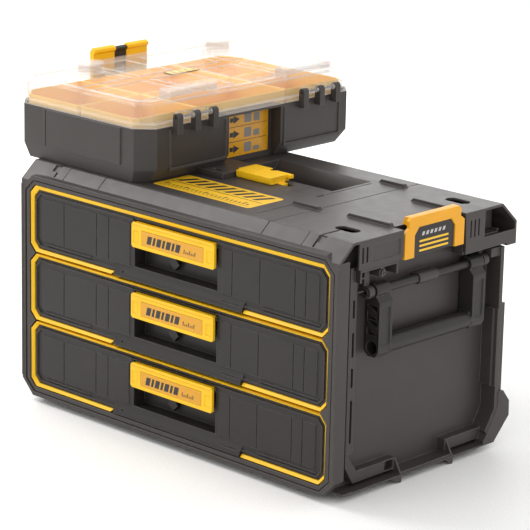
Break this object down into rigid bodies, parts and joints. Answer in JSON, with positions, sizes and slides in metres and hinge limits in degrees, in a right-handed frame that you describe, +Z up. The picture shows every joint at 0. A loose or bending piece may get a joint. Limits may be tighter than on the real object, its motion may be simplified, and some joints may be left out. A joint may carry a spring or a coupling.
{
  "type": "stacking drawer tool box",
  "caption": "Wide stacking tool unit with full-width sprung-pull drawers, fold-out side handles and stacking latches, and a half-width small-parts organiser with a clear lid docked on its deck.",
  "frame": {"origin": "middle of the flat underside of the base, on the floor plane", "axes": "+X to the right along the width, seen from the front; +Y to the rear; +Z up; drawers open towards -Y"},
  "size_m": [0.614, 0.4245, 0.44],
  "materials": {
    "shell_plastic": "fine-grained dark warm-grey moulding",
    "front_plastic": "fine-grained near-black moulding",
    "tray_plastic": "plain moulding",
    "yellow_plastic": "satin yellow moulding",
    "latch_yellow": "satin warm-yellow moulding",
    "bin_plastic": "smooth orange-yellow moulding",
    "clear_plastic": "clear polished",
    "label_film": "printed film under a clear window",
    "zinc_steel": "zinc plated",
    "dark_steel": "blackened"
  },
  "bodies": {
    "case": {"front_frame": "shell_plastic", "top_deck": "shell_plastic", "side_shell_left": "shell_plastic", "side_shell_right": "shell_plastic", "back_panel": "shell_plastic", "base_pan": "shell_plastic", "drawer_shelves": "tray_plastic", "slide_outer_members": "zinc_steel", "handle_rods": "shell_plastic", "side_latch_pins": "dark_steel", "case_screws": "dark_steel", "dock_latch_spring": "zinc_steel"},
    "drawer_1": {"drawer_1_tray": "tray_plastic", "drawer_1_front": "front_plastic", "drawer_1_trim": "yellow_plastic", "drawer_1_dividers": "tray_plastic", "drawer_1_slide_inner": "zinc_steel", "drawer_1_flap_pin": "dark_steel", "drawer_1_spring": "zinc_steel"},
    "slide_mid_1": {"slide_mid_1": "zinc_steel"},
    "flap_1": {"drawer_1_flap": "yellow_plastic", "drawer_1_label": "label_film"},
    "bolt_1": {"drawer_1_bolt": "front_plastic"},
    "drawer_2": {"drawer_2_tray": "tray_plastic", "drawer_2_front": "front_plastic", "drawer_2_trim": "yellow_plastic", "drawer_2_dividers": "tray_plastic", "drawer_2_slide_inner": "zinc_steel", "drawer_2_flap_pin": "dark_steel", "drawer_2_spring": "zinc_steel"},
    "slide_mid_2": {"slide_mid_2": "zinc_steel"},
    "flap_2": {"drawer_2_flap": "yellow_plastic", "drawer_2_label": "label_film"},
    "bolt_2": {"drawer_2_bolt": "front_plastic"},
    "drawer_3": {"drawer_3_tray": "tray_plastic", "drawer_3_front": "front_plastic", "drawer_3_trim": "yellow_plastic", "drawer_3_dividers": "tray_plastic", "drawer_3_slide_inner": "zinc_steel", "drawer_3_flap_pin": "dark_steel", "drawer_3_spring": "zinc_steel"},
    "slide_mid_3": {"slide_mid_3": "zinc_steel"},
    "flap_3": {"drawer_3_flap": "yellow_plastic", "drawer_3_label": "label_film"},
    "bolt_3": {"drawer_3_bolt": "front_plastic"},
    "side_handle_right": {"side_handle_right": "shell_plastic"},
    "side_latch_right": {"side_latch_right": "latch_yellow", "side_latch_insert_right": "shell_plastic"},
    "side_handle_left": {"side_handle_left": "shell_plastic"},
    "side_latch_left": {"side_latch_left": "latch_yellow", "side_latch_insert_left": "shell_plastic"},
    "dock_latch": {"dock_latch": "yellow_plastic"},
    "organiser": {"organiser_tub": "shell_plastic", "organiser_bins": "bin_plastic", "organiser_hinge_pin": "dark_steel", "organiser_label": "label_film"},
    "organiser_lid": {"organiser_lid": "clear_plastic"},
    "organiser_latch": {"organiser_latch": "yellow_plastic", "organiser_latch_core": "shell_plastic"}
  },
  "joints": [
    {"name": "drawer_1_slide", "type": "slide", "parent": "case", "child": "drawer_1", "axis": [0, -1, 0], "range_m": [0, 0.25]},
    {"name": "slide_mid_1_slide", "type": "slide", "parent": "case", "child": "slide_mid_1", "axis": [0, -1, 0], "range_m": [0, 0.125]},
    {"name": "flap_1_hinge", "type": "hinge", "parent": "drawer_1", "child": "flap_1", "pos_m": [0.0015, -0.1591, 0.2783], "axis": [-1, 0, 0], "range_deg": [0, 20], "stiffness_Nm_per_rad": 0.08, "springref_deg": -28.65},
    {"name": "bolt_1_slide", "type": "slide", "parent": "drawer_1", "child": "bolt_1", "axis": [0, 0, -1], "range_m": [0, 0.0045], "deforming": ["drawer_1_spring"]},
    {"name": "drawer_2_slide", "type": "slide", "parent": "case", "child": "drawer_2", "axis": [0, -1, 0], "range_m": [0, 0.25]},
    {"name": "slide_mid_2_slide", "type": "slide", "parent": "case", "child": "slide_mid_2", "axis": [0, -1, 0], "range_m": [0, 0.125]},
    {"name": "flap_2_hinge", "type": "hinge", "parent": "drawer_2", "child": "flap_2", "pos_m": [0.0015, -0.1591, 0.1866], "axis": [-1, 0, 0], "range_deg": [0, 20], "stiffness_Nm_per_rad": 0.08, "springref_deg": -28.65},
    {"name": "bolt_2_slide", "type": "slide", "parent": "drawer_2", "child": "bolt_2", "axis": [0, 0, -1], "range_m": [0, 0.0045], "deforming": ["drawer_2_spring"]},
    {"name": "drawer_3_slide", "type": "slide", "parent": "case", "child": "drawer_3", "axis": [0, -1, 0], "range_m": [0, 0.25]},
    {"name": "slide_mid_3_slide", "type": "slide", "parent": "case", "child": "slide_mid_3", "axis": [0, -1, 0], "range_m": [0, 0.125]},
    {"name": "flap_3_hinge", "type": "hinge", "parent": "drawer_3", "child": "flap_3", "pos_m": [0.0015, -0.1591, 0.0949], "axis": [-1, 0, 0], "range_deg": [0, 20], "stiffness_Nm_per_rad": 0.08, "springref_deg": -28.65},
    {"name": "bolt_3_slide", "type": "slide", "parent": "drawer_3", "child": "bolt_3", "axis": [0, 0, -1], "range_m": [0, 0.0045], "deforming": ["drawer_3_spring"]},
    {"name": "side_handle_right_hinge", "type": "hinge", "parent": "case", "child": "side_handle_right", "pos_m": [0.264, 0.006, 0.25], "axis": [0, -1, 0], "range_deg": [0, 90]},
    {"name": "side_latch_right_hinge", "type": "hinge", "parent": "case", "child": "side_latch_right", "pos_m": [0.268, 0.004, 0.289], "axis": [0, 1, 0], "range_deg": [0, 18], "stiffness_Nm_per_rad": 0.4, "springref_deg": -17.19},
    {"name": "side_handle_left_hinge", "type": "hinge", "parent": "case", "child": "side_handle_left", "pos_m": [-0.264, 0.006, 0.25], "axis": [0, 1, 0], "range_deg": [0, 90]},
    {"name": "side_latch_left_hinge", "type": "hinge", "parent": "case", "child": "side_latch_left", "pos_m": [-0.268, 0.004, 0.289], "axis": [0, -1, 0], "range_deg": [0, 18], "stiffness_Nm_per_rad": 0.4, "springref_deg": -17.19},
    {"name": "dock_latch_slide", "type": "slide", "parent": "case", "child": "dock_latch", "axis": [1, 0, 0], "range_m": [0, 0.01], "stiffness_N_per_m": 250, "springref_m": -0.01, "deforming": ["dock_latch_spring"]},
    {"name": "organiser_lift", "type": "slide", "parent": "case", "child": "organiser", "axis": [0, 0, 1], "range_m": [0, 0.2]},
    {"name": "organiser_lid_hinge", "type": "hinge", "parent": "organiser", "child": "organiser_lid", "pos_m": [-0.068, 0.056, 0.403], "axis": [0, 1, 0], "range_deg": [0, 110]},
    {"name": "organiser_latch_hinge", "type": "hinge", "parent": "organiser", "child": "organiser_latch", "pos_m": [-0.3266, 0.0568, 0.379], "axis": [0, -1, 0], "range_deg": [0, 95]}
  ],
  "couplings": [
    {"joint": "slide_mid_1_slide", "follows": "drawer_1_slide", "ratio": 0.5},
    {"joint": "bolt_1_slide", "follows": "flap_1_hinge", "m_per_rad": 0.0122},
    {"joint": "slide_mid_2_slide", "follows": "drawer_2_slide", "ratio": 0.5},
    {"joint": "bolt_2_slide", "follows": "flap_2_hinge", "m_per_rad": 0.0122},
    {"joint": "slide_mid_3_slide", "follows": "drawer_3_slide", "ratio": 0.5},
    {"joint": "bolt_3_slide", "follows": "flap_3_hinge", "m_per_rad": 0.0122}
  ]
}
